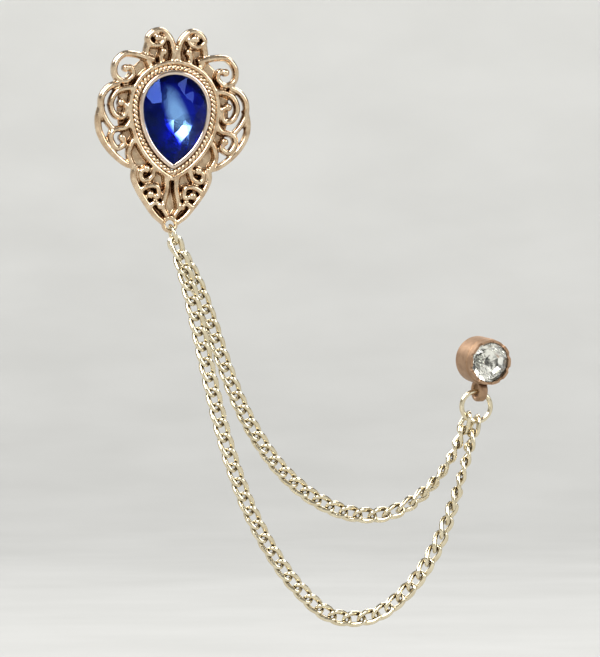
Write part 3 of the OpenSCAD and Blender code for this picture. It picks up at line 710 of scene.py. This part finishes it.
def brilliant(shape, outline, mains, back, levels):
    """Cut stone whose outline is given by outline(angle), with mains kites round its crown. levels are the
    heights of the point, of the girdle's two edges and of the table. Gives back the number of the first
    point of the girdle's lower edge, after which come the points of the back."""
    (table, corner, rise), (mid_share, mid_depth, low_share, low_depth) = CROWN_CUT, back
    bottom, low, high, top = levels

    def ring_at(count, shift, scale, z):
        return [[scale * q for q in outline(360 * (i + shift) / count)] + [z] for i in range(count)]

    n = mains
    corner_z = high + rise * (top - high)
    table_ring = ring_at(n, 0.5, table, top)
    corners = ring_at(n, 0, corner, corner_z)
    girdle_top = ring_at(4 * n, 0, 1, high)
    girdle_low = ring_at(4 * n, 0, 1, low)
    depth = low - bottom
    mid = ring_at(n, 0.5, mid_share, low - mid_depth * depth)
    culet = ring_at(n, 0, low_share, low - low_depth * depth)
    rings = [table_ring, corners, girdle_top, girdle_low, mid, culet]
    t0, c0, g0, l0, m0, k0, tip = np.cumsum([0] + [len(ring) for ring in rings]).tolist()
    faces = [tuple(t0 + i for i in range(n))]
    for i in range(n):
        j = (i + 1) % n
        g = [g0 + (4 * i + k) % (4 * n) for k in range(-2, 7)]
        low_ring = [l0 + (4 * i + k) % (4 * n) for k in range(-2, 7)]
        faces.append((t0 + (i - 1) % n, c0 + i, t0 + i))
        faces.append((t0 + i, c0 + i, g[4], c0 + j))
        faces += [(c0 + i, g[2], g[3]), (c0 + i, g[3], g[4]), (c0 + j, g[4], g[5]), (c0 + j, g[5], g[6])]
        for k in range(2, 6):
            faces.append((g[k], low_ring[k], low_ring[k + 1], g[k + 1]))
        faces += [(m0 + i, low_ring[3], low_ring[2]), (m0 + i, low_ring[4], low_ring[3]),
                  (m0 + i, low_ring[5], low_ring[4]), (m0 + i, low_ring[6], low_ring[5])]
        faces.append((m0 + (i - 1) % n, m0 + i, low_ring[2]))
        faces.append((m0 + (i - 1) % n, k0 + i, m0 + i))
        faces += [(m0 + i, k0 + i, k0 + j), (k0 + j, k0 + i, tip)]
    shape.add(sum(rings, []) + [[0, 0, bottom]], faces)
    return l0


def back_with_foil(stone, mirror, first):
    """Gives a mirror to the facets of a cut stone whose points are numbered from first on."""
    stone.data.materials.append(mirror)
    for face in stone.data.polygons:
        face.material_index = int(min(face.vertices) >= first)


def blue_stone():
    def outline(angle):
        a = -angle if angle <= 180 else 360 - angle
        r = pear_edge(a, 0)
        return [r * sin(a), r * cos(a)]

    shape = Shape()
    levels = (PAVILION_Z, GIRDLE_Z, CROWN_Z, CROWN_Z + CROWN_H)
    first = brilliant(shape, outline, PEAR_MAINS, PEAR_BACK, levels)
    mesh = shape.mesh("blue_stone_cut", on_brooch)
    stone = place_object("blue_stone_cut", mesh, BLUE, ["blue_stone"], smooth=False)
    back_with_foil(stone, BLUE_FOIL, first)


def crystal():
    def outline(angle):
        return [-CRYSTAL_D / 2 * sin(angle), CRYSTAL_D / 2 * cos(angle)]

    girdle = DRUM_H + COLLAR_H - CRYSTAL_SINK
    shape = Shape()
    levels = (CUP_FLOOR + PLAY, girdle - CRYSTAL_GIRDLE, girdle, girdle + CRYSTAL_CROWN)
    first = brilliant(shape, outline, ROUND_MAINS, ROUND_BACK, levels)
    mesh = shape.mesh("crystal_cut", on_stud)
    stone = place_object("crystal_cut", mesh, CLEAR, ["crystal"], smooth=False)
    back_with_foil(stone, CLEAR_FOIL, first)


# Floor, light and camera

SKY = 0.26
# Bowl: radii of the inner rings, radius of its flat, radius of its bend and how far that goes, its steps
# round and up, and its distance below the part
BOWL_RINGS, BOWL_FLAT, BOWL_BEND, BOWL_RIM = (0.4, 0.8), 1.0, 1.2, 60
BOWL_STEPS, BEND_STEP, BOWL_DROP = 96, 5, 0.03
# Two tones of its cloth at the floor and two from WALL_HEIGHT up, and its roughness
WALL_HEIGHT, FLOOR_ROUGH = 0.3, 0.9
LOW_TONES = ((0.44, 0.44, 0.425), (0.48, 0.48, 0.465))
HIGH_TONES = ((0.82, 0.82, 0.79), (0.86, 0.86, 0.83))
# Camera: lens in millimetres, nearest and farthest sight, angles round and above the part, and height of
# the picture in heights of the part
LENS, CLIP = 300, (0.01, 20)
AZIMUTH, ELEVATION, MARGIN = -15, 0, 1.1
# Lights: distance from the part's middle and diameter
LIGHT_REACH, LIGHT_SIZE = 1.5, 0.9
# Columns: name, angle round the object, angle above it, power in watts, colour
LIGHTS = [("key", -40, 42, 29, (1, 0.98, 0.95)), ("fill", 45, 30, 11.5, (0.96, 0.98, 1)),
          ("back_left", -140, 40, 11, (1, 1, 1)), ("back_right", 140, 45, 11, (1, 1, 1))]


def area_light(name, at, toward, power, color):
    """Soft round light that shines from one point toward another."""
    data = bpy.data.lights.new(name, "AREA")
    data.shape, data.size, data.energy, data.color = "DISK", LIGHT_SIZE, power, color
    lamp = bpy.data.objects.new(name, data)
    lamp.location = at
    lamp.rotation_euler = (Vector(toward) - Vector(at)).to_track_quat("-Z", "Y").to_euler()
    bpy.context.scene.collection.objects.link(lamp)


def studio(lo, hi):
    """Pale round bowl with a wide flat floor that is deeper in tone than its wall, a dim sky and four soft
    lights."""
    middle = (lo + hi) / 2
    profile = [(r, 0) for r in BOWL_RINGS]
    for a in range(0, BOWL_RIM + 1, BEND_STEP):
        profile.append((BOWL_FLAT + BOWL_BEND * sin(a), BOWL_BEND - BOWL_BEND * cos(a)))
    rows, points, faces = len(profile), [], []
    for i in range(BOWL_STEPS):
        a = 360 * i / BOWL_STEPS
        points += [(r * cos(a), r * sin(a), z) for r, z in profile]
        for k in range(rows - 1):
            p, q = i * rows + k, (i + 1) % BOWL_STEPS * rows + k
            faces.append((p, p + 1, q + 1, q))
    faces.append([i * rows for i in range(BOWL_STEPS)])
    mesh = bpy.data.meshes.new("floor")
    mesh.from_pydata(points, [], faces)
    mesh.polygons.foreach_set("use_smooth", [True] * len(faces))
    floor = bpy.data.objects.new("floor", mesh)
    floor.location = (middle.x, middle.y, lo.z - BOWL_DROP)
    bpy.context.scene.collection.objects.link(floor)
    material, shader = new_material("floor")
    coords = material.node_tree.nodes.new("ShaderNodeTexCoord")
    place = material.node_tree.nodes.new("ShaderNodeSeparateXYZ")
    link(material, coords.outputs["Object"], place.inputs["Vector"])
    wall = scaled(material, place.outputs["Z"], 0, WALL_HEIGHT, 0, 1)
    cloth = spots(material, coords, CLOTH)
    low = mixed(material, cloth, *LOW_TONES)
    high = mixed(material, cloth, *HIGH_TONES)
    link(material, mixed(material, wall, low, high), shader.inputs["Base Color"])
    shader.inputs["Roughness"].default_value = FLOOR_ROUGH
    mesh.materials.append(material)

    world = bpy.data.worlds.new("studio")
    bpy.context.scene.world = world
    world.use_nodes = True
    back = world.node_tree.nodes["Background"]
    back.inputs["Color"].default_value = (1, 1, 1, 1)
    back.inputs["Strength"].default_value = SKY
    for name, around, height, power, color in LIGHTS:
        way = Vector((sin(around) * cos(height), -cos(around) * cos(height), sin(height)))
        area_light(name, middle + LIGHT_REACH * way, middle, power, color)


def camera(lo, hi):
    """Camera at the photo's angle, so far off that the part's height and a margin fill the picture."""
    data = bpy.data.cameras.new("camera")
    data.lens = LENS
    data.clip_start, data.clip_end = CLIP
    cam = bpy.data.objects.new("camera", data)
    back = Vector((sin(AZIMUTH) * cos(ELEVATION), -cos(AZIMUTH) * cos(ELEVATION), sin(ELEVATION)))
    height = (hi.z - lo.z) * MARGIN
    # The picture is taller than wide, and the sensor's width belongs to its longer side
    distance = height / 2 / (data.sensor_width / 2 / data.lens)
    cam.location = (lo + hi) / 2 + back * distance
    cam.rotation_mode = "QUATERNION"
    cam.rotation_quaternion = (-back).to_track_quat("-Z", "Y")
    bpy.context.scene.collection.objects.link(cam)
    bpy.context.scene.camera = cam


bpy.context.scene.view_settings.view_transform = "Standard"
camera(*cad_box)
filigree()
setting()
rope_border()
chain("strand_upper", "chain_upper", UPPER_ROUTE, UPPER_SAG, 1)
chain("strand_lower", "chain_lower", LOWER_ROUTE, LOWER_SAG, -1)
blue_stone()
crystal()
for node, material in (("brooch_pin", PIN), ("brooch_ring", CHAIN),
                       ("stud_ring", CHAIN), ("stud_cup", ROSE), ("stud_pin", PIN)):
    nodes[node].data.materials.clear()
    nodes[node].data.materials.append(material)
studio(*cad_box)
